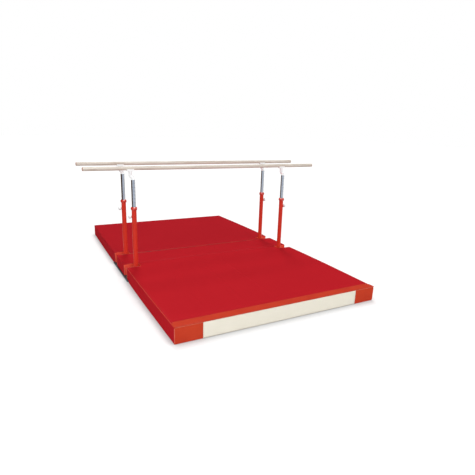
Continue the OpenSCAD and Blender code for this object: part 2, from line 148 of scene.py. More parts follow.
# %% [markdown]
# ## Floor, world and lights
# A product studio has a white sweep, a large lamp overhead, fills from the front and the left, and
# a box close by for the long side of the mats. The floor is a pale diffuse sheet that adds some
# white of its own for camera, glossy and transmission rays, so open floor reads white and still
# shows the object's shadow. That added white fades where the floor is shut in, which paints a
# contact shadow round the object's foot. A studio also has flags and a soft box that show only in
# reflections: a dark flag at the left draws the chrome's dark edge, grey ones behind, in front and
# at the right band it like a room, and the box lights the collars.

# %% Floor
FLOOR_HALF = 60.0
FLOOR_DROP = 0.0005
FLOOR_GREY = 0.40
FLOOR_GLOW = 0.66
PAINTED_SHADOW_REACH = 0.11
PAINTED_SHADOW_POWER = 1.2


def background_rays(tree):
    """1 for the rays that see the white background: camera, glossy and transmission rays."""
    path = add_node(tree, "ShaderNodeLightPath").outputs
    seen = calc(tree, "MAXIMUM", path["Is Camera Ray"], path["Is Glossy Ray"])
    return calc(tree, "MAXIMUM", seen, path["Is Transmission Ray"])


floor = mesh_object("studio_floor",
                    [(x * FLOOR_HALF, y * FLOOR_HALF, -FLOOR_DROP)
                     for x, y in ((-1, -1), (1, -1), (1, 1), (-1, 1))], [(0, 1, 2, 3)])
sweep, tree, shader = new_material("studio_sweep")
tree.nodes.remove(shader)
matte = add_node(tree, "ShaderNodeBsdfDiffuse", {"Color": (FLOOR_GREY, FLOOR_GREY, FLOOR_GREY, 1)})
# Ambient occlusion dims the added white near the mats: a painted contact shadow on the floor.
painted_shadow_ao = add_node(tree, "ShaderNodeAmbientOcclusion", {"Distance": PAINTED_SHADOW_REACH})
share = calc(tree, "MULTIPLY", background_rays(tree),
             calc(tree, "POWER", painted_shadow_ao.outputs["AO"], PAINTED_SHADOW_POWER))
glow = add_node(tree, "ShaderNodeEmission", {"Strength": calc(tree, "MULTIPLY", share, FLOOR_GLOW)})
both = add_node(tree, "ShaderNodeAddShader", {0: matte.outputs[0], 1: glow.outputs[0]})
fill(tree.nodes["Material Output"], {"Surface": both.outputs[0]})
floor.data.materials.append(sweep)
floor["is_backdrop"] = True
print("floor:", 2 * FLOOR_HALF, "m square")

# %% World and lamps
ROOM_GREY = 0.47
world = bpy.data.worlds.new("studio")
scene.world = world
world.use_nodes = True
tree = world.node_tree
room = fill(tree.nodes["Background"], {"Color": (ROOM_GREY, ROOM_GREY, ROOM_GREY, 1)})
white = add_node(tree, "ShaderNodeBackground", {"Color": (1, 1, 1, 1)})
seen = add_node(tree, "ShaderNodeMixShader", {0: background_rays(tree), 1: room.outputs[0],
                                              2: white.outputs[0]})
fill(tree.nodes["World Output"], {"Surface": seen.outputs[0]})


def lamp(name, kind, toward, energy):
    """A lamp that shines along a direction."""
    light = bpy.data.objects.new(name, bpy.data.lights.new(name, kind))
    light.data.energy = energy
    light.rotation_euler = Vector(toward).to_track_quat("-Z", "Y").to_euler()
    scene.collection.objects.link(light)
    return light


for name, toward, energy, width in (("overhead_box", (-0.32, -1.07, -1.6), 1.2, 12),
                                    ("front_fill", (-0.55, 1.0, -0.45), 1.62, 60),
                                    ("left_fill", (1.0, 0.25, -0.30), 1.2, 60)):
    lamp(name, "SUN", toward, energy).data.angle = math.radians(width)
near_box = lamp("left_near_box", "AREA", (2.9, 2.0, -0.9), 20)
near_box.data.size = 1.5
near_box.location = (-4.2, -3.2, 1.0)
near_box.visible_glossy = False
print("lights: room, overhead box, two fills and a near box")

# %% Flags and soft box
TALL = 4.5


def reflected_card(name, corners, colour, strength):
    """A card that only reflections see, with an even brightness of its own."""
    card = mesh_object(name, corners, [(0, 1, 2, 3)])
    paper, _, shader = new_material(name)
    fill(shader, {"Base Color": (0, 0, 0, 1), "Specular IOR Level": 0,
                  "Emission Color": (*colour, 1), "Emission Strength": strength})
    card.data.materials.append(paper)
    card.visible_camera = card.visible_diffuse = card.visible_shadow = False
    card.visible_transmission = False
    card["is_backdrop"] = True


for name, start, stop, colour in (
        ("left_flag", (-2.2, -1.0), (-2.2, 3.4), (0.085, 0.040, 0.027)),
        ("back_flag", (-2.2, 3.4), (2.6, 3.4), (0.20, 0.17, 0.16)),
        ("right_flag", (2.6, 3.4), (2.6, -0.4), (0.46, 0.48, 0.48)),
        ("front_card", (2.0, -2.9), (-3.0, -2.9), (0.66, 0.72, 0.83))):
    reflected_card(name, [(*start, 0), (*stop, 0), (*stop, TALL), (*start, TALL)], colour, 1.0)
reflected_card("soft_box", [(-2.4, -6.0, 3.0), (0.4, -6.0, 3.0), (0.4, -0.6, 5.2),
                            (-2.4, -0.6, 5.2)], (1, 1, 1), 16.0)
print("reflections: four standing cards and a soft box")

# %% [markdown]
# ## Shared shader effects
# Every finish needs some of the same things: patches of tone, patches of gloss, a fine relief
# and a lengthwise grain. Each is a node group with its own inputs, built once and placed in many
# materials, so that a change in one place reaches all. The groups read Object coordinates, which
# are the shared frame's metres, so their scales are real sizes.

# %% Helpers for node groups
FLOAT, COLOR, VECTOR = "NodeSocketFloat", "NodeSocketColor", "NodeSocketVector"
GEOMETRY, MATERIAL = "NodeSocketGeometry", "NodeSocketMaterial"


def new_tree(name, inputs, outputs, kind="ShaderNodeTree"):
    """A node group with named sockets; returns it, what it is given and its end node."""
    tree = bpy.data.node_groups.new(name, kind)
    for label, socket_type, *value in inputs:
        socket = tree.interface.new_socket(label, in_out="INPUT", socket_type=socket_type)
        if value:
            socket.default_value = value[0]
    for label, socket_type in outputs:
        tree.interface.new_socket(label, in_out="OUTPUT", socket_type=socket_type)
    return tree, tree.nodes.new("NodeGroupInput").outputs, tree.nodes.new("NodeGroupOutput")


def stretched(tree, stretch):
    """Object coordinates times a stretch, which is a value or a socket."""
    place = add_node(tree, "ShaderNodeTexCoord").outputs["Object"]
    return add_node(tree, "ShaderNodeVectorMath", {0: place, 1: stretch},
                    operation="MULTIPLY").outputs[0]


def cloud(tree, given, detail, roughness):
    """Noise for a group that is given a scale per metre and a stretch."""
    return add_node(tree, "ShaderNodeTexNoise",
                    {"Vector": stretched(tree, given["Stretch"]), "Scale": given["Per metre"],
                     "Detail": detail, "Roughness": roughness}).outputs["Fac"]


def mixed(tree, factor, first, second):
    """Colour mix of two colour sockets by a factor socket."""
    return add_node(tree, "ShaderNodeMix", {"Factor": factor, "A": first, "B": second},
                    data_type="RGBA").outputs["Result"]


# %% Tone patches and gloss patches
tone_patches, given, end = new_tree(
    "tone_patches",
    [("First", COLOR, (0.5, 0.5, 0.5, 1)), ("Second", COLOR, (0.4, 0.4, 0.4, 1)),
     ("Per metre", FLOAT, 4.0), ("Stretch", VECTOR, (1, 1, 1)), ("Softness", FLOAT, 0.2)],
    [("Color", COLOR)])
fade = add_node(tone_patches, "ShaderNodeMapRange",
                {"Value": cloud(tone_patches, given, 5.0, 0.6),
                 "From Min": calc(tone_patches, "SUBTRACT", 0.5, given["Softness"]),
                 "From Max": calc(tone_patches, "ADD", 0.5, given["Softness"])})
fill(end, {"Color": mixed(tone_patches, fade.outputs["Result"], given["First"], given["Second"])})

gloss_patches, given, end = new_tree(
    "gloss_patches",
    [("Low", FLOAT, 0.3), ("High", FLOAT, 0.5), ("Per metre", FLOAT, 8.0),
     ("Stretch", VECTOR, (1, 1, 1))], [("Roughness", FLOAT)])
fade = add_node(gloss_patches, "ShaderNodeMapRange",
                {"Value": cloud(gloss_patches, given, 6.0, 0.65), "From Min": 0.3, "From Max": 0.7,
                 "To Min": given["Low"], "To Max": given["High"]})
fill(end, {"Roughness": fade.outputs["Result"]})
print("groups:", tone_patches.name, gloss_patches.name)

# %% Embossed vinyl, fine grit and long grain
embossed_grain, given, end = new_tree(
    "embossed_grain", [("Per metre", FLOAT, 330.0), ("Creases", FLOAT, 0.4)], [("Height", FLOAT)])
spot = add_node(embossed_grain, "ShaderNodeTexCoord").outputs["Object"]
cells = add_node(embossed_grain, "ShaderNodeTexVoronoi",
                 {"Vector": spot, "Scale": given["Per metre"], "Randomness": 0.9},
                 feature="SMOOTH_F1")
slack = add_node(embossed_grain, "ShaderNodeTexNoise",
                 {"Vector": spot, "Scale": 9.0, "Detail": 3.0})
share = calc(embossed_grain, "MULTIPLY", slack.outputs["Fac"], given["Creases"])
fill(end, {"Height": calc(embossed_grain, "SUBTRACT", share, cells.outputs["Distance"])})

fine_grit, given, end = new_tree(
    "fine_grit", [("Per metre", FLOAT, 400.0), ("Stretch", VECTOR, (1, 1, 1))], [("Height", FLOAT)])
fill(end, {"Height": cloud(fine_grit, given, 4.0, 0.6)})

long_grain, given, end = new_tree(
    "long_grain",
    [("Pale", COLOR, (0.7, 0.6, 0.5, 1)), ("Middle", COLOR, (0.6, 0.5, 0.4, 1)),
     ("Dark", COLOR, (0.4, 0.3, 0.2, 1)), ("Streaks", FLOAT, 0.4), ("Veins", FLOAT, 1.0)],
    [("Color", COLOR), ("Height", FLOAT)])
bands = []
for stretch, scale, detail in (((0.9, 13, 13), 3.0, 4.0), ((0.7, 26, 26), 4.0, 3.0),
                               ((1.2, 60, 60), 5.0, 6.0)):
    band = add_node(long_grain, "ShaderNodeTexNoise",
                    {"Vector": stretched(long_grain, stretch), "Scale": scale, "Detail": detail})
    bands.append(band.outputs["Fac"])
broad = add_node(long_grain, "ShaderNodeMapRange",
                 {"Value": bands[0], "From Min": 0.38, "From Max": 0.60})
colour = mixed(long_grain, broad.outputs["Result"], given["Pale"], given["Middle"])
for band, low, high, share in ((bands[1], 0.54, 0.66, "Streaks"), (bands[2], 0.52, 0.72, "Veins")):
    line = add_node(long_grain, "ShaderNodeMapRange",
                    {"Value": band, "From Min": low, "From Max": high})
    part = calc(long_grain, "MULTIPLY", line.outputs["Result"], given[share])
    colour = mixed(long_grain, part, colour, given["Dark"])
fill(end, {"Color": colour, "Height": bands[2]})
print("groups:", embossed_grain.name, fine_grit.name, long_grain.name)

# %% [markdown]
# ## Finishes
# A finish is one Principled shader with its plain numbers set on its own sockets, and groups for
# whatever changes over the surface. One function wires the usual case: a two-tone colour, a
# gloss that wanders and a relief. Colours are written as the picture shows them, in sRGB.

# %% A function for finishes


def srgb(*values):
    """Linear colour from sRGB values of 0 to 255."""
    def linear(c):
        c = c / 255
        return c / 12.92 if c <= 0.04045 else ((c + 0.055) / 1.055) ** 2.4
    return (*(linear(v) for v in values), 1)


def placed(tree, group, values):
    """A group node in a material's tree, with its own values."""
    return add_node(tree, "ShaderNodeGroup", values, node_tree=group)


def relief(tree, height, strength, depth):
    """Normal of a bump from a height socket."""
    return add_node(tree, "ShaderNodeBump", {"Height": height, "Strength": strength,
                                             "Distance": depth}).outputs["Normal"]


def finish(name, first, second, gloss, tone=4.0, stretch=(1, 1, 1), grit=400.0, strength=0.05,
           depth=0.001, emboss=None, shine=0.5, **sockets):
    """A Principled finish with tone patches, gloss patches and a fine relief."""
    material, tree, shader = new_material(name)
    colour = placed(tree, tone_patches, {"First": srgb(*first), "Second": srgb(*second),
                                         "Per metre": tone, "Stretch": stretch})
    patches = placed(tree, gloss_patches, {"Low": gloss[0], "High": gloss[1],
                                           "Per metre": 3 * tone, "Stretch": stretch})
    if emboss:
        grain = placed(tree, embossed_grain, {"Per metre": emboss})
    else:
        grain = placed(tree, fine_grit, {"Per metre": grit, "Stretch": stretch})
    fill(shader, {"Base Color": colour.outputs["Color"], "Specular IOR Level": shine,
                  "Roughness": patches.outputs["Roughness"],
                  "Normal": relief(tree, grain.outputs["Height"], strength, depth)})
    fill(shader, {label.replace("_", " "): value for label, value in sockets.items()})
    return material


# %% Vinyl, loop cloth and thread
VINYL = dict(emboss=330, strength=0.25, depth=0.0006, shine=0)
MATT_COAT = dict(Coat_Weight=0.03, Coat_Roughness=0.4)
PIPING = dict(emboss=500, strength=0.2, depth=0.0004)
# One vinyl in three copies that step darker from the front mat to the rear one: painted shade for
# the light falling off towards the back.
mat_reds = {label: finish(f"{label}_mat_red_painted_shade_vinyl", (red, 28, 37), (red - 3, 27, 36), (0.42, 0.56),
                          tone=1.6, **VINYL, **MATT_COAT)
            for label, red in (("front", 181), ("centre", 178), ("rear", 172))}
# The notch walls take a paler orange than the end walls: painted light, so they read as lit inside
# their shaded notches.
notch_painted_light_vinyl = finish("notch_painted_light_vinyl", (236, 90, 70), (227, 79, 61), (0.40, 0.54), tone=5.0, **VINYL,
                     Coat_Weight=0.05)
mat_orange, flap_orange = (
    finish(name, first, second, (0.40, 0.54), tone=5.0, **VINYL, **MATT_COAT)
    for name, first, second in (("mat_orange_vinyl", (203, 68, 43), (194, 60, 39)),
                                ("flap_orange_vinyl", (195, 63, 41), (187, 56, 38))))
# Piping sewn along the edges; its orange paints the highlight that the lit edges of the front mat
# and the notches catch.
edge_highlight_piping = finish("edge_highlight_piping", (202, 66, 44), (190, 54, 40), (0.35, 0.5), tone=14.0,
                     shine=0.1, **PIPING)
# Piping along the rear joint; its orange paints the highlight that the joint's edge catches, broken
# by dark dashes along it.
joint_highlight_piping = finish("joint_highlight_piping", (192, 66, 46), (118, 28, 28), (0.35, 0.5), tone=11.0,
                      stretch=(1, 0.1, 0.1), shine=0.1, **PIPING)
# Welts and the fold seam take a paler vinyl, which paints the highlight on the rounded corners and
# along the fold.
seam_highlight_vinyl = finish("seam_highlight_vinyl", (226, 122, 98), (206, 84, 62), (0.32, 0.5), tone=14.0, shine=0.3,
                    **PIPING)
loop_cloth = finish("cream_loop_cloth", (240, 234, 218), (237, 231, 214), (0.85, 0.95), tone=9.0,
                    emboss=700, strength=0.3, depth=0.0010, Sheen_Weight=0.25)
hook_tape = finish("hook_tape", (176, 52, 40), (150, 40, 34), (0.8, 0.95), tone=30.0, emboss=900,
                   strength=0.7, depth=0.0012)
thread = finish("thread", (150, 26, 30), (128, 20, 26), (0.6, 0.8), tone=60.0, grit=2500)
cream_thread = finish("cream_thread", (214, 205, 184), (196, 186, 164), (0.6, 0.8), tone=60.0,
                      grit=2500)
print("soft finishes:", [m.name for m in (*mat_reds.values(), mat_orange, loop_cloth)])

# %% Paint, chrome and other hard finishes
red_paint, collar_paint = (
    finish(name, (204, 55, 38), (200, 50, 36), gloss, tone=6.0, grit=260, strength=0.04,
           shine=shine)
    for name, gloss, shine in (("satin_red_paint", (0.26, 0.34), 0.12),
                               ("gloss_red_paint", (0.12, 0.17), 0.8)))
white_paint = finish("gloss_white_paint", (246, 248, 248), (241, 245, 245), (0.3, 0.42), tone=18.0,
                     grit=320, strength=0.05, Coat_Weight=0.2, Coat_Roughness=0.2)
chrome = finish("chrome_plating", (194, 198, 204), (188, 192, 198), (0.05, 0.09), tone=5.0,
                stretch=(6, 6, 1), grit=60, strength=0.015, Metallic=1.0)
zinc = finish("zinc_plating", (196, 199, 202), (172, 176, 180), (0.3, 0.46), tone=70.0, grit=700,
              strength=0.05, Metallic=1.0)
nylon = finish("white_nylon", (222, 222, 216), (208, 208, 200), (0.45, 0.55), tone=40.0, grit=700,
               strength=0.05, Subsurface_Weight=0.05)
glass_fibre = finish("glass_fibre_rod", (214, 208, 158), (196, 190, 138), (0.3, 0.42), tone=30.0,
                     stretch=(0.05, 1, 1), grit=600)
white_knob, dark_paint, rubber, black_plastic, rail_cap, scale_ink = (
    finish(name, first, second, gloss, tone=tone, grit=grit, strength=strength)
    for name, first, second, gloss, tone, grit, strength in (
        ("white_knob_plastic", (228, 231, 232), (221, 224, 225), (0.38, 0.5), 30.0, 900, 0.06),
        ("dark_powder_paint", (46, 65, 75), (38, 55, 64), (0.45, 0.6), 12.0, 1100, 0.12),
        ("black_rubber", (36, 37, 39), (28, 29, 31), (0.75, 0.9), 20.0, 900, 0.2),
        ("black_plastic", (34, 35, 37), (27, 28, 30), (0.5, 0.62), 30.0, 1200, 0.1),
        ("rail_end_cap", (196, 160, 144), (180, 142, 126), (0.5, 0.62), 40.0, 900, 0.1),
        ("scale_ink", (34, 58, 78), (26, 46, 62), (0.5, 0.6), 80.0, 1500, 0.03)))
print("hard finishes:", [m.name for m in (red_paint, white_paint, chrome, dark_paint)])

# %% Rail timber
timber, tree, shader = new_material("rail_timber")
grain = placed(tree, long_grain, {"Pale": srgb(216, 209, 198), "Middle": srgb(206, 196, 183),
                                  "Dark": srgb(166, 146, 130), "Streaks": 0.6, "Veins": 0.5})
patches = placed(tree, gloss_patches, {"Low": 0.45, "High": 0.62, "Per metre": 6.0,
                                       "Stretch": (0.2, 4, 4)})
fill(shader, {"Base Color": grain.outputs["Color"], "Roughness": patches.outputs["Roughness"],
              "Normal": relief(tree, grain.outputs["Height"], 0.12, 0.0006),
              "Specular IOR Level": 0.2, "Coat Weight": 0.04, "Coat Roughness": 0.35})
print("timber:", timber.name)

# %% [markdown]
# ## Finishes on the CAD nodes
# The rigid pieces already have their right shapes, so each only gets its finish. A table of name
# stems to finishes keeps the whole set in view, and a node that no stem fits stops the script.

# %% Give every CAD node its finish
NODE_FINISHES = {
    "end_plate": dark_paint, "rubber_soles": rubber, "side_beam": red_paint, "beam_bolts": zinc,
    "beam_end_caps": black_plastic, "flange_bolts": zinc, "collar_screws": red_paint,
    "guide_bushes": nylon, "upright_socket": red_paint, "outer_tube": red_paint,
    "collar_": collar_paint, "inner_tube": chrome, "tube_plug": black_plastic,
    "swan_neck": white_paint, "pivot_pin": zinc, "saddle_screws": zinc, "saddle_": white_paint,
    "clamp_knob": white_knob, "rail_core": glass_fibre, "rail_caps": rail_cap, "rail_": timber,
    "landing_mat": mat_reds["front"], "centre_mat": mat_reds["centre"], "joining_flap": flap_orange,
    "loop_panel": loop_cloth,
}
for name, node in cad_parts.items():
    stem = next(s for s in NODE_FINISHES if name.startswith(s))
    node.data.materials.clear()
    node.data.materials.append(NODE_FINISHES[stem])
print("finished", len(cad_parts), "CAD nodes")

# %% [markdown]
# ## Mat covers
# A landing mat is a foam block in a sewn vinyl cover, notched round the uprights and hollowed
# below for the floor frame. A plain box would lose the notches, and a voxel remesh of a mat this
# long would need millions of faces. So the block is built from the skin of a cell grid whose
# lines fall on every edge, its edges are rounded with a bevel, and then cloth with a little
# pressure swells the panels between the sewn edges.

# %% Sizes of the mats, taken from the frame
mat_low, mat_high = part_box("landing_mat_front")
centre_low, centre_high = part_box("centre_mat")
socket_low, socket_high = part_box("upright_socket_rr")
tube_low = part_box("outer_tube_rr")[0]
plate_low, plate_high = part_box("end_plate_right")
beam_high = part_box("side_beam_rear")[1]
beam_bolts_top, flange_bolts_top = (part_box(n)[1].z for n in ("beam_bolts", "flange_bolts"))
panel_low, panel_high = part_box("loop_panel")
flap_low, flap_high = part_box("joining_flap")
TUBE_ROOM, SOCKET_ROOM = 0.015, 0.007
SIDE_ROOM, TOP_ROOM = 0.010, 0.003
MAT_TOP = 0.180
HALF_LENGTH = mat_high.x
MAT_IN, MAT_OUT = -mat_high.y, -mat_low.y
NOTCH_X = tube_low.x - TUBE_ROOM
NOTCH_Y = socket_high.y + SOCKET_ROOM
POCKET_X = plate_low.x - SIDE_ROOM
POCKET_Y = plate_high.y + SIDE_ROOM
POCKET_Z = plate_high.z + TOP_ROOM
REBATE_Y = beam_high.y + SIDE_ROOM
REBATE_Z = beam_bolts_top + TOP_ROOM
FLANGE_X = socket_low.x - SIDE_ROOM
FLANGE_Z = flange_bolts_top + TOP_ROOM
CELL, RISE_CELL = 0.030, 0.034
EDGE_ROUND = 0.010
HAIR = 0.001
print("mat", 2 * HALF_LENGTH, "by", round(MAT_OUT - MAT_IN, 3), "notch from", round(NOTCH_X, 3))

# %% Block skin from a cell grid


def grid_lines(marks, step):
    """Lines through every mark, with even lines between them no more than a step apart."""
    lines = []
    for a, b in zip(marks, marks[1:]):
        count = max(1, math.ceil((b - a) / step - 1e-6))
        lines += [a + (b - a) * k / count for k in range(count)]
    return np.array(lines + [marks[-1]])


def finish_index(axis, x, y):
    """0 for red panels, 1 for orange end walls, 2 for notch walls painted paler as light."""
    if abs(y) < NOTCH_Y + HAIR and NOTCH_X - HAIR < abs(x) < HALF_LENGTH - HAIR:
        return 2 if axis < 2 else 0
    return 1 if axis == 1 and abs(y) > NOTCH_Y else 0


def block_skin(name, lines, is_foam, red):
    """Closed quad skin of the grid cells for which is_foam(x, y, z) holds."""
    middles = [(a[1:] + a[:-1]) / 2 for a in lines]
    foam = np.pad(is_foam(*np.meshgrid(*middles, indexing="ij")), 1)
    verts, faces, ends = {}, [], []
    for axis in range(3):
        others = [a for a in range(3) if a != axis]
        for side in (0, 1):
            beside = np.roll(foam, -1 if side else 1, axis)
            for low in np.argwhere(foam & ~beside) - 1:
                ring = []
                for step in ((0, 0), (1, 0), (1, 1), (0, 1)):
                    corner = low.copy()
                    corner[axis] += side
                    corner[others] += step
                    ring.append(verts.setdefault(tuple(corner), len(verts)))
                if (side == 1) == (axis == 1):
                    ring.reverse()
                faces.append(ring)
                spot = [middles[a][low[a]] for a in range(2)]
                if axis < 2:
                    spot[axis] = lines[axis][low[axis] + side]
                ends.append(finish_index(axis, *spot))
    points = [(lines[0][i], lines[1][j], lines[2][k]) for i, j, k in verts]
    obj = mesh_object(name, points, faces)
    for material in (red, mat_orange, notch_painted_light_vinyl):
        obj.data.materials.append(material)
    obj.data.polygons.foreach_set("material_index", ends)
    return obj


def landing_foam(side):
    """Foam test for a landing mat on one side of the middle."""
    def is_foam(x, y, z):
        across, along = side * y, np.abs(x)
        notch = (along > NOTCH_X) & (across < NOTCH_Y)
        pocket = (along > POCKET_X) & (across < POCKET_Y) & (z < POCKET_Z)
        flange = (along > FLANGE_X) & (across < NOTCH_Y) & (z < FLANGE_Z)
        rebate = (across < REBATE_Y) & (z < REBATE_Z)
        return ~(notch | pocket | flange | rebate)
    return is_foam


def centre_foam(x, y, z):
    """Foam test for the centre mat."""
    return ~((np.abs(x) > POCKET_X) & (z < POCKET_Z))


half_marks = [POCKET_X, FLANGE_X, NOTCH_X, HALF_LENGTH]
long_marks = [-m for m in reversed(half_marks)] + half_marks
rear_marks = [MAT_IN, REBATE_Y, NOTCH_Y, POCKET_Y, MAT_OUT]
long_lines = grid_lines(long_marks, CELL)
mats = {}
for label, side, marks, rises in (
        ("rear", 1, rear_marks, [0, POCKET_Z, FLANGE_Z, REBATE_Z, MAT_TOP]),
        ("front", -1, [-m for m in reversed(rear_marks)],
         [0, POCKET_Z, FLANGE_Z, REBATE_Z, MAT_TOP]),
        ("centre", 0, [centre_low.y, 0, centre_high.y], [0, POCKET_Z, MAT_TOP])):
    lines = (long_lines, grid_lines(marks, CELL), grid_lines(rises, RISE_CELL))
    mats[label] = block_skin(f"{label}_mat_cover", lines,
                             landing_foam(side) if side else centre_foam, mat_reds[label])
    print(label, "mat block:", len(mats[label].data.polygons), "faces")

# %% Rounded edges


def baked(obj):
    """Replaces an object's mesh by its evaluated one and drops the modifiers."""
    bpy.context.view_layer.update()
    evaluated = obj.evaluated_get(bpy.context.evaluated_depsgraph_get())
    mesh = bpy.data.meshes.new_from_object(evaluated)
    obj.modifiers.clear()
    old = obj.data
    obj.data = mesh
    bpy.data.meshes.remove(old)
    mesh.name = obj.name
    return obj


def shade_smooth(obj):
    """Smooth shading on every face."""
    obj.data.polygons.foreach_set("use_smooth", [True] * len(obj.data.polygons))
    obj.data.update()


BUTT_SHARE = 0.25
UNDER_SHARE = 0.4
SHARP = math.radians(50)


def edge_share(middle, level):
    """How much of the full rounding an edge gets, from its middle and whether it is level."""
    if not level:
        return 1.0
    if middle.z < MAT_TOP - HAIR:
        return UNDER_SHARE
    butt = abs(middle.x) < NOTCH_X and abs(middle.y + MAT_IN) < 0.01
    return BUTT_SHARE if butt else 1.0


for mat in mats.values():
    block = bmesh.new()
    block.from_mesh(mat.data)
    share = block.edges.layers.float.new("bevel_weight_edge")
    for edge in block.edges:
        if edge.calc_face_angle(0.0) > SHARP:
            a, b = (v.co for v in edge.verts)
            edge[share] = edge_share((a + b) / 2, abs(a.z - b.z) < HAIR)
    block.to_mesh(mat.data)
    block.free()
    bevel = mat.modifiers.new("edges", "BEVEL")
    bevel.width = EDGE_ROUND
    bevel.segments = 3
    bevel.limit_method = "WEIGHT"
    bevel.use_clamp_overlap = False
    baked(mat)
print("rounded:", [len(m.data.vertices) for m in mats.values()], "points")

# %% [markdown]
# ## Swelling the covers
# Vinyl over foam bulges a few millimetres between its seams. Cloth with pressure and no gravity
# gives that, with the underside, the seams, the walls against a neighbour and the strip under the
# flap held still. A cap on the travel keeps each mat inside its own space. Creases at the outer
# corners, folds in the side walls, the bow of the sides and a few long creases on the tops are
# moved in code afterwards, where the picture shows them.

# %% Cloth with pressure
SWELL_CAP = 0.0035
SWELL_FRAMES = 14
SEAM_BAND = 0.016
FLAP_BAND = 0.15
PANEL_HALF = 1.02


def points_of(mesh):
    """A mesh's points as an array with one row each."""
    co = np.empty(len(mesh.vertices) * 3)
    mesh.vertices.foreach_get("co", co)
    return co.reshape(-1, 3)


def held_points(label, co):
    """Mask of the points that the swelling leaves alone."""
    across, along = np.abs(co[:, 1]), np.abs(co[:, 0])
    outer, hollow = (centre_high.y, POCKET_Z) if label == "centre" else (MAT_OUT, REBATE_Z)
    below = co[:, 2] < hollow + SEAM_BAND
    near_top = co[:, 2] > MAT_TOP - SEAM_BAND
    near_side = along > HALF_LENGTH - SEAM_BAND
    near_end = across > outer - SEAM_BAND
    seams = (near_top & (near_side | near_end)) | (near_side & near_end)
    if label == "centre":
        return below | seams | near_end
    notch = (across < NOTCH_Y + SEAM_BAND) & (along > NOTCH_X - SEAM_BAND)
    joint = across < MAT_IN + SEAM_BAND
    under_flap = near_top & (across > MAT_OUT - FLAP_BAND)
    return below | seams | notch | joint | under_flap | (near_end & (along < PANEL_HALF))


def swell(obj, held):
    """Inflates a cover between its held points, then caps the travel."""
    rest = points_of(obj.data)
    group = obj.vertex_groups.new(name="held")
    group.add([int(i) for i in np.flatnonzero(held)], 1.0, "REPLACE")
    cloth = obj.modifiers.new("swell", "CLOTH")
    cloth.settings.effector_weights.gravity = 0
    for key, value in dict(vertex_group_mass="held", use_pressure=True, uniform_pressure_force=3.0,
                           tension_stiffness=40, compression_stiffness=40, bending_stiffness=8,
                           quality=4).items():
        setattr(cloth.settings, key, value)
    for step in range(1, SWELL_FRAMES + 1):
        scene.frame_set(step)
    evaluated = obj.evaluated_get(bpy.context.evaluated_depsgraph_get())
    travel = points_of(evaluated.data) - rest
    obj.modifiers.remove(cloth)
    obj.vertex_groups.clear()
    scene.frame_set(1)
    length = np.linalg.norm(travel, axis=1)
    share = np.tanh(length / SWELL_CAP) * SWELL_CAP / np.maximum(length, 1e-9)
    moved = rest + travel * share[:, None]
    obj.data.vertices.foreach_set("co", moved.ravel())
    obj.data.update()
    return float(length.max())


for label, mat in mats.items():
    most = swell(mat, held_points(label, points_of(mat.data)))
    print(label, "mat swelled, longest free travel", round(most * 1000, 1), "mm")

# %% How the sides bow
RIGHT_BOW, LEFT_BOW = 0.036, 0.014
BOW_FROM = -flap_high.y
BOW_TURN = 0.62 * math.pi


def side_bow(x, y):
    """How far a cover's right or left side stands out at a spot, most towards the notches."""
    near_side = np.clip((np.abs(x) - NOTCH_X) / (HALF_LENGTH - NOTCH_X), 0, 1)
    inwards = np.clip((BOW_FROM - np.abs(y)) / (BOW_FROM - NOTCH_Y), 0, 1)
    return np.where(x > 0, RIGHT_BOW, -LEFT_BOW) * near_side * np.sin(BOW_TURN * inwards)


print("side bow by the right notch:", round(float(side_bow(HALF_LENGTH, -NOTCH_Y)) * 1000, 1), "mm")

# %% Creases, folds and a last subdivision
CREASE, CREASE_REACH = 0.0026, 0.22
FOLD, FOLD_SKIN = 0.010, 0.02
FADE_TOP, FADE_FOOT, FADE_END = 0.05, 0.03, 0.06
RIDGE, RIDGE_WIDTH, RIDGE_TAPER = 0.0018, 0.024, 0.10
top_creases = {
    "front": [((-0.29, -0.52), (-0.40, -1.98)), ((0.02, -0.40), (0.00, -1.98)),
              ((-0.86, -1.45), (-0.86, -1.98)), ((-0.58, -0.46), (-0.90, -1.08))],
    "centre": [((x, -0.21), (x, 0.16)) for x in (-0.40, 0.00, 0.25)],
    "rear": [((0.06, 0.45), (0.08, 1.10)), ((-0.42, 0.45), (-0.44, 0.90))]}


def crease_corners(co, normals):
    """Slanting creases where the vinyl is folded round the outer corners of a landing mat."""
    to_corner = np.hypot(HALF_LENGTH - np.abs(co[:, 0]), MAT_OUT - np.abs(co[:, 1]))
    pull = np.clip(1 - to_corner / CREASE_REACH, 0, 1) * (np.abs(normals[:, 2]) < 0.5)
    for i in np.flatnonzero(pull > 0):
        x, y, z = co[i]
        slant = Vector((14 * (x + y) + 22 * z, 9 * (x - y) - 12 * z, 4 * z))
        co[i] -= normals[i] * CREASE * pull[i] * (0.5 + noise.noise(slant))


def fold_sides(co, normals, outer):
    """Long shallow folds in the side walls, fading out towards their edges."""
    side_wall = (np.abs(normals[:, 0]) > 0.8) & (np.abs(co[:, 0]) > HALF_LENGTH - FOLD_SKIN)
    for i in np.flatnonzero(side_wall):
        x, y, z = co[i]
        free = min(1.0, (MAT_TOP - z) / FADE_TOP, z / FADE_FOOT, (outer - abs(y)) / FADE_END)
        ripple = noise.noise(Vector((0.6 * x, 1.9 * y + 5 * z, 11 * z - 1.2 * y)))
        co[i, 0] -= math.copysign(FOLD * max(free, 0.0) * (0.5 + ripple), x)


def on_crease(co, start, end):
    """1 on the line from start to end, falling to 0 at its sides and its ends."""
    along = np.subtract(end, start)
    length = np.linalg.norm(along)
    offset = co[:, :2] - np.array(start)
    reach = offset @ along / length
    aside = np.abs(offset[:, 0] * along[1] - offset[:, 1] * along[0]) / length
    fade = np.clip(np.minimum(reach, length - reach) / RIDGE_TAPER, 0, 1)
    return fade * np.clip(1 - aside / RIDGE_WIDTH, 0, 1)


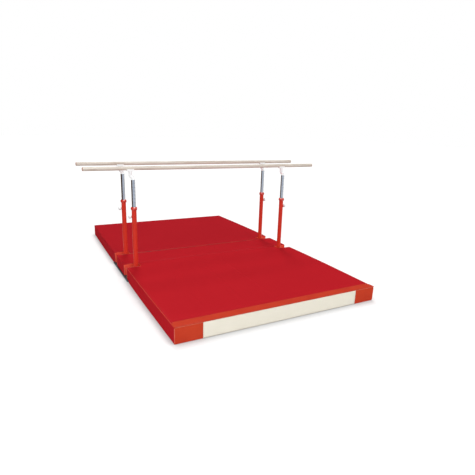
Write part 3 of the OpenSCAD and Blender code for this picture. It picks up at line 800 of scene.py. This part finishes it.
for label, mat in mats.items():
    co = points_of(mat.data)
    normals = np.empty(len(co) * 3)
    mat.data.vertices.foreach_get("normal", normals)
    normals = normals.reshape(-1, 3)
    if label != "centre":
        crease_corners(co, normals)
    fold_sides(co, normals, MAT_OUT if label != "centre" else centre_high.y)
    co[:, 0] += side_bow(co[:, 0], co[:, 1])
    mat.data.vertices.foreach_set("co", co.ravel())
    smooth = mat.modifiers.new("smooth", "SUBSURF")
    smooth.levels = smooth.render_levels = 1
    baked(mat)
    co = points_of(mat.data)
    on_top = co[:, 2] > MAT_TOP - EDGE_ROUND
    for start, stop in top_creases[label]:
        co[:, 2] += RIDGE * on_top * on_crease(co, start, stop)
    mat.data.vertices.foreach_set("co", co.ravel())
    shade_smooth(mat)
    print(label, "mat cover:", len(mat.data.polygons), "faces")

for label, body, node in (("front", "front_mat", "landing_mat_front"),
                          ("rear", "rear_mat", "landing_mat_rear"),
                          ("centre", "middle_mat", "centre_mat")):
    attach(mats[label], body)
    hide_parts(node)

# %% [markdown]
# ## Piping and stitches
# A sewn cover shows a thin piping along its edges and a row of stitches beside it. Both follow a
# path and repeat, so Geometry Nodes make them: one tree sweeps a round section along an edge
# line, the other sets a small stitch every few millimetres and turns it along the line. The lines
# are first laid on the finished covers, so nothing floats. Each edge line is parted into the
# joint, the notches and the rest, because those are piped in different colours; the orange and
# pale colours paint the highlights of lit edges.

# %% Two Geometry Nodes trees for lines


def new_geometry_tree(name, *inputs):
    """A Geometry Nodes tree with a geometry in and out, named inputs and a material."""
    return new_tree(name, [("Geometry", GEOMETRY), *inputs, ("Material", MATERIAL)],
                    [("Geometry", GEOMETRY)], "GeometryNodeTree")


def swept(tree, curve, radius, sides):
    """Mesh of a round section swept along a curve."""
    section = add_node(tree, "GeometryNodeCurvePrimitiveCircle",
                       {"Resolution": sides, "Radius": radius})
    return add_node(tree, "GeometryNodeCurveToMesh",
                    {"Curve": curve, "Profile Curve": section.outputs["Curve"],
                     "Fill Caps": True}).outputs["Mesh"]


def close_tree(tree, given, end, geometry):
    """Ends a tree in Realize Instances, smooth shading and Set Material."""
    realize = add_node(tree, "GeometryNodeRealizeInstances", {"Geometry": geometry})
    smooth = add_node(tree, "GeometryNodeSetShadeSmooth", {"Geometry": realize.outputs["Geometry"]})
    dress = add_node(tree, "GeometryNodeSetMaterial", {"Geometry": smooth.outputs["Geometry"],
                                                       "Material": given["Material"]})
    fill(end, {"Geometry": dress.outputs["Geometry"]})


piping_tree, given, end = new_geometry_tree("piping", ("Radius", FLOAT, 0.002))
line = add_node(piping_tree, "GeometryNodeMeshToCurve", {"Mesh": given["Geometry"]})
close_tree(piping_tree, given, end,
           swept(piping_tree, line.outputs["Curve"], given["Radius"], 8))

stitch_tree, given, end = new_geometry_tree(
    "stitches", ("Pitch", FLOAT, 0.009), ("Size", VECTOR, (0.003, 0.0006, 0.0005)))
line = add_node(stitch_tree, "GeometryNodeMeshToCurve", {"Mesh": given["Geometry"]})
spaced = add_node(stitch_tree, "GeometryNodeResampleCurve",
                  {"Curve": line.outputs["Curve"], "Length": given["Pitch"]}, mode="LENGTH")
bead = add_node(stitch_tree, "GeometryNodeMeshUVSphere", {"Segments": 6, "Rings": 4, "Radius": 1.0})
along = add_node(stitch_tree, "GeometryNodeInputTangent")
facing = add_node(stitch_tree, "FunctionNodeAlignRotationToVector",
                  {"Vector": along.outputs["Tangent"]}, axis="X")
sewn = add_node(stitch_tree, "GeometryNodeInstanceOnPoints",
                {"Points": spaced.outputs["Curve"], "Instance": bead.outputs["Mesh"],
                 "Rotation": facing.outputs["Rotation"], "Scale": given["Size"]})
close_tree(stitch_tree, given, end, sewn.outputs["Instances"])
print("trees:", piping_tree.name, stitch_tree.name)

# %% Lines laid on a surface
STITCH_PITCH = 0.009
STITCH_LENGTH, STITCH_WIDTH = 0.0031, 0.0006


def grown(name, tree, values, lines):
    """One mesh that a Geometry Nodes tree grows on polylines; each line is a list of points."""
    verts, edges = [], []
    for line in lines:
        edges += [(len(verts) + k, len(verts) + k + 1) for k in range(len(line) - 1)]
        verts += line
    obj = mesh_object(name, verts, edges=edges)
    modifier = obj.modifiers.new(tree.name, "NODES")
    modifier.node_group = tree
    for item in tree.interface.items_tree:
        if item.in_out == "INPUT" and item.name in values:
            modifier[item.identifier] = values[item.name]
    return baked(obj)


def piped(name, radius, material, lines):
    """A round piping along each line."""
    return grown(name, piping_tree, {"Radius": radius, "Material": material}, lines)


def stitched(name, material, lines, rise=0.0005):
    """A row of stitches along each line."""
    size = (STITCH_LENGTH, STITCH_WIDTH, rise)
    return grown(name, stitch_tree, {"Pitch": STITCH_PITCH, "Size": size, "Material": material},
                 lines)


def laid(surface, corners, step, lift=0.0, closed=False):
    """A line of steps through corners, moved with the sides' bow and laid on a surface."""
    ring = [Vector(c) for c in corners]
    if closed:
        ring.append(ring[0])
    points = []
    for a, b in zip(ring, ring[1:]):
        count = max(1, math.ceil((b - a).length / step))
        points += [a.lerp(b, k / count) for k in range(count)]
    resting = []
    for point in points + ring[-1:]:
        bowed = point + Vector((float(side_bow(point.x, point.y)), 0, 0))
        spot, normal, _, _ = surface.find_nearest(bowed)
        resting.append(spot + normal * lift)
    return resting


def parted(line, test):
    """A line's runs of points, parted into those outside and those inside a test."""
    runs = {False: [], True: []}
    for a, b in zip(line, line[1:]):
        side = runs[test(a) and test(b)]
        if side and side[-1][-1] is a:
            side[-1].append(b)
        else:
            side.append([a, b])
    return runs


def surface_of(obj):
    """Search tree of an object's mesh, for laying points on it."""
    copy = bmesh.new()
    copy.from_mesh(obj.data)
    tree = BVHTree.FromBMesh(copy)
    copy.free()
    return tree


# %% Outlines of the mats
outlines = {
    "rear": [(-HALF_LENGTH, MAT_OUT), (HALF_LENGTH, MAT_OUT), (HALF_LENGTH, NOTCH_Y),
             (NOTCH_X, NOTCH_Y), (NOTCH_X, MAT_IN), (-NOTCH_X, MAT_IN), (-NOTCH_X, NOTCH_Y),
             (-HALF_LENGTH, NOTCH_Y)],
    "centre": [(-HALF_LENGTH, centre_high.y), (HALF_LENGTH, centre_high.y),
               (HALF_LENGTH, centre_low.y), (-HALF_LENGTH, centre_low.y)],
}
outlines["front"] = [(x, -y) for x, y in outlines["rear"]]
BY_EDGE = 0.02


def inset(outline, distance):
    """An outline moved inwards by a distance, for edges along X or Y."""
    corners = [Vector(c) for c in outline]
    after, before = corners[1:] + corners[:1], corners[-1:] + corners[:-1]
    turn = 1 if sum(a.cross(b) for a, b in zip(corners, after)) > 0 else -1
    moved = []
    for last, corner, ahead in zip(before, corners, after):
        one, two = (corner - last).normalized(), (ahead - corner).normalized()
        shift = Vector((-one.y, one.x)) + Vector((-two.y, two.x))
        moved.append(tuple(corner + turn * distance * shift))
    return moved


def in_joint(point):
    """Whether a point lies along the joint with the centre mat."""
    return abs(point.x) < NOTCH_X and abs(abs(point.y) - MAT_IN) < BY_EDGE


def by_notch(point):
    """Whether a point lies on the edge of a notch."""
    return abs(point.y) < NOTCH_Y + BY_EDGE and abs(point.x) < HALF_LENGTH - BY_EDGE


print("outlines:", {label: len(outline) for label, outline in outlines.items()}, "corners")

# %% Piping, welts and stitches of the mats
PIPE_R, JOINT_R, WELT_R = 0.0030, 0.0035, 0.0032
PIPE_LIFT, WELT_LIFT, STITCH_LIFT = 0.0004, 0.001, 0.0001
PIPE_STEP, STITCH_STEP, STITCH_INSET = 0.012, 0.02, 0.017
FOOT_GAP = 0.012
bodies = {"front": "front_mat", "rear": "rear_mat", "centre": "middle_mat"}
for label, outline in outlines.items():
    surface = surface_of(mats[label])
    outer = inset(outline, -EDGE_ROUND)
    edge = [(x, y, MAT_TOP + EDGE_ROUND) for x, y in outer]
    front = label == "front"
    lines = [laid(surface, edge[1:] + edge[:1] if front else edge, PIPE_STEP, PIPE_LIFT, not front)]
    welts = []
    for x, y in outer:
        if abs(x) > HALF_LENGTH:
            foot = FOOT_GAP if abs(y) > POCKET_Y else POCKET_Z + FOOT_GAP
            upright = [(x, y, foot), (x, y, MAT_TOP - EDGE_ROUND)]
            welts.append(laid(surface, upright, PIPE_STEP, WELT_LIFT))
        elif label != "centre" and abs(y) < NOTCH_Y:
            foot = (REBATE_Z if abs(y) < MAT_IN else FLANGE_Z) + FOOT_GAP
            upright = [(x, y, foot), (x, y, MAT_TOP - FOOT_GAP)]
            lines.append(laid(surface, upright, PIPE_STEP, PIPE_LIFT))
    runs = {"joint": [], "notch": [], "edge": []}
    for line in lines:
        sides = parted(line, in_joint)
        runs["joint"] += sides[True]
        for part in sides[False]:
            sides = parted(part, by_notch)
            runs["notch"] += sides[True]
            runs["edge"] += sides[False]
    # Orange piping on the notches, the front mat's edges and the rear joint paints the highlight of
    # lit edges; red piping elsewhere is the cover's own colour.
    edgings = [("notch", PIPE_R, edge_highlight_piping, "flap_vinyl"),
               ("edge", PIPE_R, edge_highlight_piping, "flap_vinyl") if front
               else ("edge", PIPE_R, mat_reds[label], "mat_vinyl")]
    if label == "rear":
        edgings.append(("joint", JOINT_R, joint_highlight_piping, "flap_vinyl"))
    for place, radius, material, slot in edgings:
        piping = piped(f"{label}_mat_{place}_piping", radius, material, runs[place])
        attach(piping, bodies[label])
    # The corner welts take the pale seam colour, a painted highlight on the rounded corners.
    welt = piped(f"{label}_mat_corner_welts", WELT_R, seam_highlight_vinyl, welts)
    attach(welt, bodies[label])
    row = [(x, y, MAT_TOP + EDGE_ROUND) for x, y in inset(outline, STITCH_INSET)]
    stitches = stitched(f"{label}_mat_stitches", thread,
                        [laid(surface, row, STITCH_STEP, STITCH_LIFT, closed=True)])
    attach(stitches, bodies[label])
    print(label, "piping:", {k: len(r) for k, r in runs.items()}, "runs,", len(welts), "welts")

# %% [markdown]
# ## Joining flap
# The flap is a strip of orange vinyl sewn along the front edge. It lies back on the mat, or folds
# forward over the next mat, whose face it grips with the hook tape on its underside. It is cloth
# with a little thickness: a fine grid with two rounded corners, a faint waviness, and Solidify.

# %% Flap
FLAP_CORNER = 0.04
FLAP_SHEET = 0.0022
FLAP_GAP = 0.0002
FLAP_CELL_X, FLAP_CELL_Y = 0.02, 0.008
TAPE_ENDS, TAPE_FROM = 0.05, 0.035
WAVE = 0.0005


def cloth_sheet(name, rows, thickness, *materials):
    """A sheet of cloth from rows of points, given its thickness by Solidify."""
    count = len(rows[0])
    faces = [(a, a + count, a + count + 1, a + 1)
             for i in range(len(rows) - 1) for a in range(i * count, (i + 1) * count - 1)]
    sheet = mesh_object(name, [point for row in rows for point in row], faces)
    for material in materials:
        sheet.data.materials.append(material)
    thick = sheet.modifiers.new("thickness", "SOLIDIFY")
    thick.thickness = thickness
    thick.offset = 0
    shade_smooth(baked(sheet))
    return sheet


def flap_row(x):
    """Points across the flap at one place along it, shorter at its rounded corners."""
    into = max(0.0, FLAP_CORNER - (x - flap_low.x), FLAP_CORNER - (flap_high.x - x))
    reach = flap_high.y - FLAP_CORNER + math.sqrt(max(FLAP_CORNER ** 2 - into ** 2, 0.0))
    row = []
    for y in grid_lines([flap_low.y, flap_high.y - FLAP_CORNER, flap_high.y], FLAP_CELL_Y):
        t = (y - flap_low.y) / (flap_high.y - flap_low.y)
        yy = flap_low.y + t * (reach - flap_low.y)
        lift = WAVE * t * (1 + noise.noise(Vector((3 * x, 14 * yy, 0.3))))
        row.append((x, yy, flap_low.z + FLAP_GAP + FLAP_SHEET / 2 + lift * 0.5))
    return row


columns = grid_lines([flap_low.x, flap_low.x + FLAP_CORNER, flap_high.x - FLAP_CORNER,
                      flap_high.x], FLAP_CELL_X)
flap = cloth_sheet("joining_flap_cloth", [flap_row(x) for x in columns], FLAP_SHEET, flap_orange,
                   hook_tape)
taped = [face.normal.z < -0.5 and abs(face.center.x) < flap_high.x - TAPE_ENDS
         and face.center.y > flap_low.y + TAPE_FROM for face in flap.data.polygons]
flap.data.polygons.foreach_set("material_index", [int(t) for t in taped])
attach(flap, "mat_flap")
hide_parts("joining_flap")

# %% Flap seam and stitches
HEM = 0.010
SHEET_STEP = 0.015
ROW_ONE, ROW_TWO, BORDER_FROM = 0.012, 0.018, 0.024
CORNER_STEPS = 6
SEAM_R, SEAM_LIFT, SEAM_INSET = 0.0024, 0.0016, 0.012
SEAM_OUT, SEAM_DROP, PANEL_GAP = 0.004, 0.002, 0.004
above = flap_high.z + 0.01
rows = [[(x, flap_low.y + margin, above) for x in (flap_low.x + HEM, flap_high.x - HEM)]
        for margin in (ROW_ONE, ROW_TWO)]
bend = [(flap_low.x + HEM, flap_low.y + BORDER_FROM),
        (flap_low.x + HEM, flap_high.y - FLAP_CORNER)]
for k in range(1, CORNER_STEPS + 1):
    a = math.pi / 2 * k / CORNER_STEPS
    r = FLAP_CORNER - HEM
    bend.append((flap_low.x + FLAP_CORNER - r * math.cos(a),
                 flap_high.y - FLAP_CORNER + r * math.sin(a)))
bend += [(-x, y) for x, y in reversed(bend)]
rows.append([(x, y, above) for x, y in bend])
surface = surface_of(flap)
flap_thread = stitched("joining_flap_stitches", thread,
                       [laid(surface, row, SHEET_STEP) for row in rows], rise=0.0004)
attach(flap_thread, "mat_flap")
surface = surface_of(mats["front"])
folds = []
for side in (-1, 1):
    ends = [(side * x, mat_low.y - SEAM_OUT, MAT_TOP - SEAM_DROP)
            for x in (HALF_LENGTH - SEAM_INSET, panel_high.x + PANEL_GAP)]
    folds.append(laid(surface, ends, STITCH_STEP, SEAM_LIFT))
# The fold seam's pale colour paints the highlight along the folded front edge.
fold_seam = piped("front_fold_seam", SEAM_R, seam_highlight_vinyl, folds)
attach(fold_seam, "front_mat")
print("flap stitches:", len(flap_thread.data.polygons), "faces")

# %% [markdown]
# ## Loop panel
# The cream panel is loop cloth, the soft half of a touch fastener, stretched flat on the front
# face and sewn down along its border. It is a thin sheet with faint slanting ripples from being
# pulled over foam, and a row of stitches just inside its edge.

# %% Loop panel
RIPPLE, CALM_BORDER = 0.0004, 0.03
BORDER = 0.006
PANEL_CELL_X, PANEL_CELL_Z = 0.02, 0.0125
PANEL_SHARE = 0.8
depth = panel_high.y - panel_low.y


def panel_row(x):
    """Points up the panel at one place along it, rippled away from its border."""
    row = []
    for z in grid_lines([panel_low.z, panel_high.z], PANEL_CELL_Z):
        edge = min(x - panel_low.x, panel_high.x - x, z - panel_low.z, panel_high.z - z)
        ripple = noise.noise(Vector((7 * x + 5 * z, 2 * x - 6 * z, 0.7)))
        ripple *= min(1, edge / CALM_BORDER)
        row.append((x, panel_low.y + depth / 2 + RIPPLE * ripple, z))
    return row


columns = grid_lines([panel_low.x, panel_high.x], PANEL_CELL_X)
panel = cloth_sheet("loop_panel_cloth", [panel_row(x) for x in columns], depth * PANEL_SHARE,
                    loop_cloth)
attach(panel, "front_mat")
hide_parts("loop_panel")
foot, head = panel_low.z + BORDER, panel_high.z - BORDER
border = [(s * (panel_high.x - BORDER), panel_low.y - 0.01, z)
          for s, z in ((-1, foot), (1, foot), (1, head), (-1, head))]
panel_thread = stitched("loop_panel_stitches", cream_thread,
                        [laid(surface_of(panel), border, SHEET_STEP, closed=True)])
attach(panel_thread, "front_mat")

# %% [markdown]
# ## Height scale on the chrome tubes
# Each inner tube carries a printed scale, so that both ends of a rail are set alike. The marks
# are short arcs on the tube, one every 10 mm and a longer one every 50 mm, so a Geometry Nodes
# tree sweeps one arc and repeats it up a line of points. The plain numbers are the rail's height
# in centimetres, made as text, turned into a mesh and wrapped round the tube.

# %% Scale marks by Geometry Nodes
scale_tree, given, end = new_geometry_tree(
    "scale_marks", ("Radius", FLOAT, 0.025), ("Sweep", FLOAT, 0.4), ("Weight", FLOAT, 0.0006))
arc = add_node(scale_tree, "GeometryNodeCurveArc",
               {"Resolution": 7, "Start Angle": 0.0, "Radius": given["Radius"],
                "Sweep Angle": given["Sweep"]})
marked = add_node(scale_tree, "GeometryNodeInstanceOnPoints",
                  {"Points": given["Geometry"],
                   "Instance": swept(scale_tree, arc.outputs["Curve"], given["Weight"], 4)})
close_tree(scale_tree, given, end, marked.outputs["Instances"])
print("tree:", scale_tree.name)

# %% Heights and numbers
NUMBER_HEIGHT, TYPE_PER_HEIGHT = 0.011, 1.4
INK = 0.00012
LOWEST, HIGHEST = 1.20, 2.00
FOOT_MARGIN, HEAD_MARGIN = 0.1, 0.02
rail_tops = {side[0]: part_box(f"rail_{side}")[1].z for side in ("front", "rear")}
collar_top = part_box("collar_fl")[1].z


def mark_heights(rail_top, foot, head, pitch):
    """Where the marks of one pitch stand on a tube; the collar's top points at the setting."""
    heights = []
    value = LOWEST
    while value < HIGHEST + 0.001:
        spot = collar_top - (value - rail_top)
        if foot + FOOT_MARGIN < spot < head - HEAD_MARGIN:
            heights.append(spot)
        value = round(value + pitch, 3)
    return heights


def wrapped_number(text, centre, radius, facing, height):
    """Points and faces of a number wrapped round an upright tube."""
    curve = bpy.data.curves.new("number", "FONT")
    curve.body = text
    curve.size = NUMBER_HEIGHT * TYPE_PER_HEIGHT
    curve.extrude = INK
    curve.resolution_u = 3
    curve.align_x = curve.align_y = "CENTER"
    obj = bpy.data.objects.new("number", curve)
    scene.collection.objects.link(obj)
    bpy.context.view_layer.update()
    evaluated = obj.evaluated_get(bpy.context.evaluated_depsgraph_get())
    mesh = bpy.data.meshes.new_from_object(evaluated)
    verts = []
    for v in mesh.vertices:
        angle, reach = facing + v.co.x / radius, radius + v.co.z
        verts.append((centre.x + reach * math.cos(angle), centre.y + reach * math.sin(angle),
                      height + v.co.y))
    faces = [tuple(p.vertices) for p in mesh.polygons]
    bpy.data.objects.remove(obj)
    bpy.data.curves.remove(curve)
    bpy.data.meshes.remove(mesh)
    return verts, faces


def join(verts, faces, more, shapes):
    """Adds the points and faces of one mesh to the lists of another."""
    first = len(verts)
    verts += more
    faces += [tuple(first + k for k in shape) for shape in shapes]


print("rail tops:", {side: round(z, 3) for side, z in rail_tops.items()})

# %% A scale on each tube
LONG_PITCH = 0.05
MARK_KINDS = ((LONG_PITCH, 0.62, 0.0014), (0.01, 0.3, 0.0006))
MARK_TURN, NUMBER_TURN = -0.75, 0.48
for corner in ("fl", "fr", "rl", "rr"):
    tube_low, tube_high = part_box(f"inner_tube_{corner}")
    centre = (tube_low + tube_high) / 2
    radius = (tube_high.x - tube_low.x) / 2
    facing = -math.pi / 2 if corner[0] == "f" else math.pi / 2
    rail_top = rail_tops[corner[0]]
    turn = (Matrix.Translation((centre.x, centre.y, 0))
            @ Matrix.Rotation(facing + MARK_TURN, 4, "Z"))
    verts, faces = [], []
    for pitch, sweep, weight in MARK_KINDS:
        heights = mark_heights(rail_top, tube_low.z, tube_high.z, pitch)
        marks = grown("marks", scale_tree, {"Radius": radius + INK, "Sweep": sweep,
                                            "Weight": weight, "Material": scale_ink},
                      [[(0, 0, z)] for z in heights])
        join(verts, faces, [turn @ v.co for v in marks.data.vertices],
             [p.vertices for p in marks.data.polygons])
        bpy.data.objects.remove(marks)
    for spot in mark_heights(rail_top, tube_low.z, tube_high.z, LONG_PITCH):
        number = round((rail_top + collar_top - spot) * 100)
        join(verts, faces, *wrapped_number(str(number), centre, radius, facing + NUMBER_TURN, spot))
    ruler = mesh_object(f"height_scale_{corner}", verts, faces)
    ruler.data.materials.append(scale_ink)
    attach(ruler, f"tube_{corner}")
print("scales: marks from", round(min(heights), 3), "to", round(max(heights), 3), "m")

# %% [markdown]
# ## Size
# The dressed object has to stay the size of the CAD model, so its box is printed.

# %% Finish
low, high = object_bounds()
print("visual box:", [round(c, 3) for c in low], [round(c, 3) for c in high])
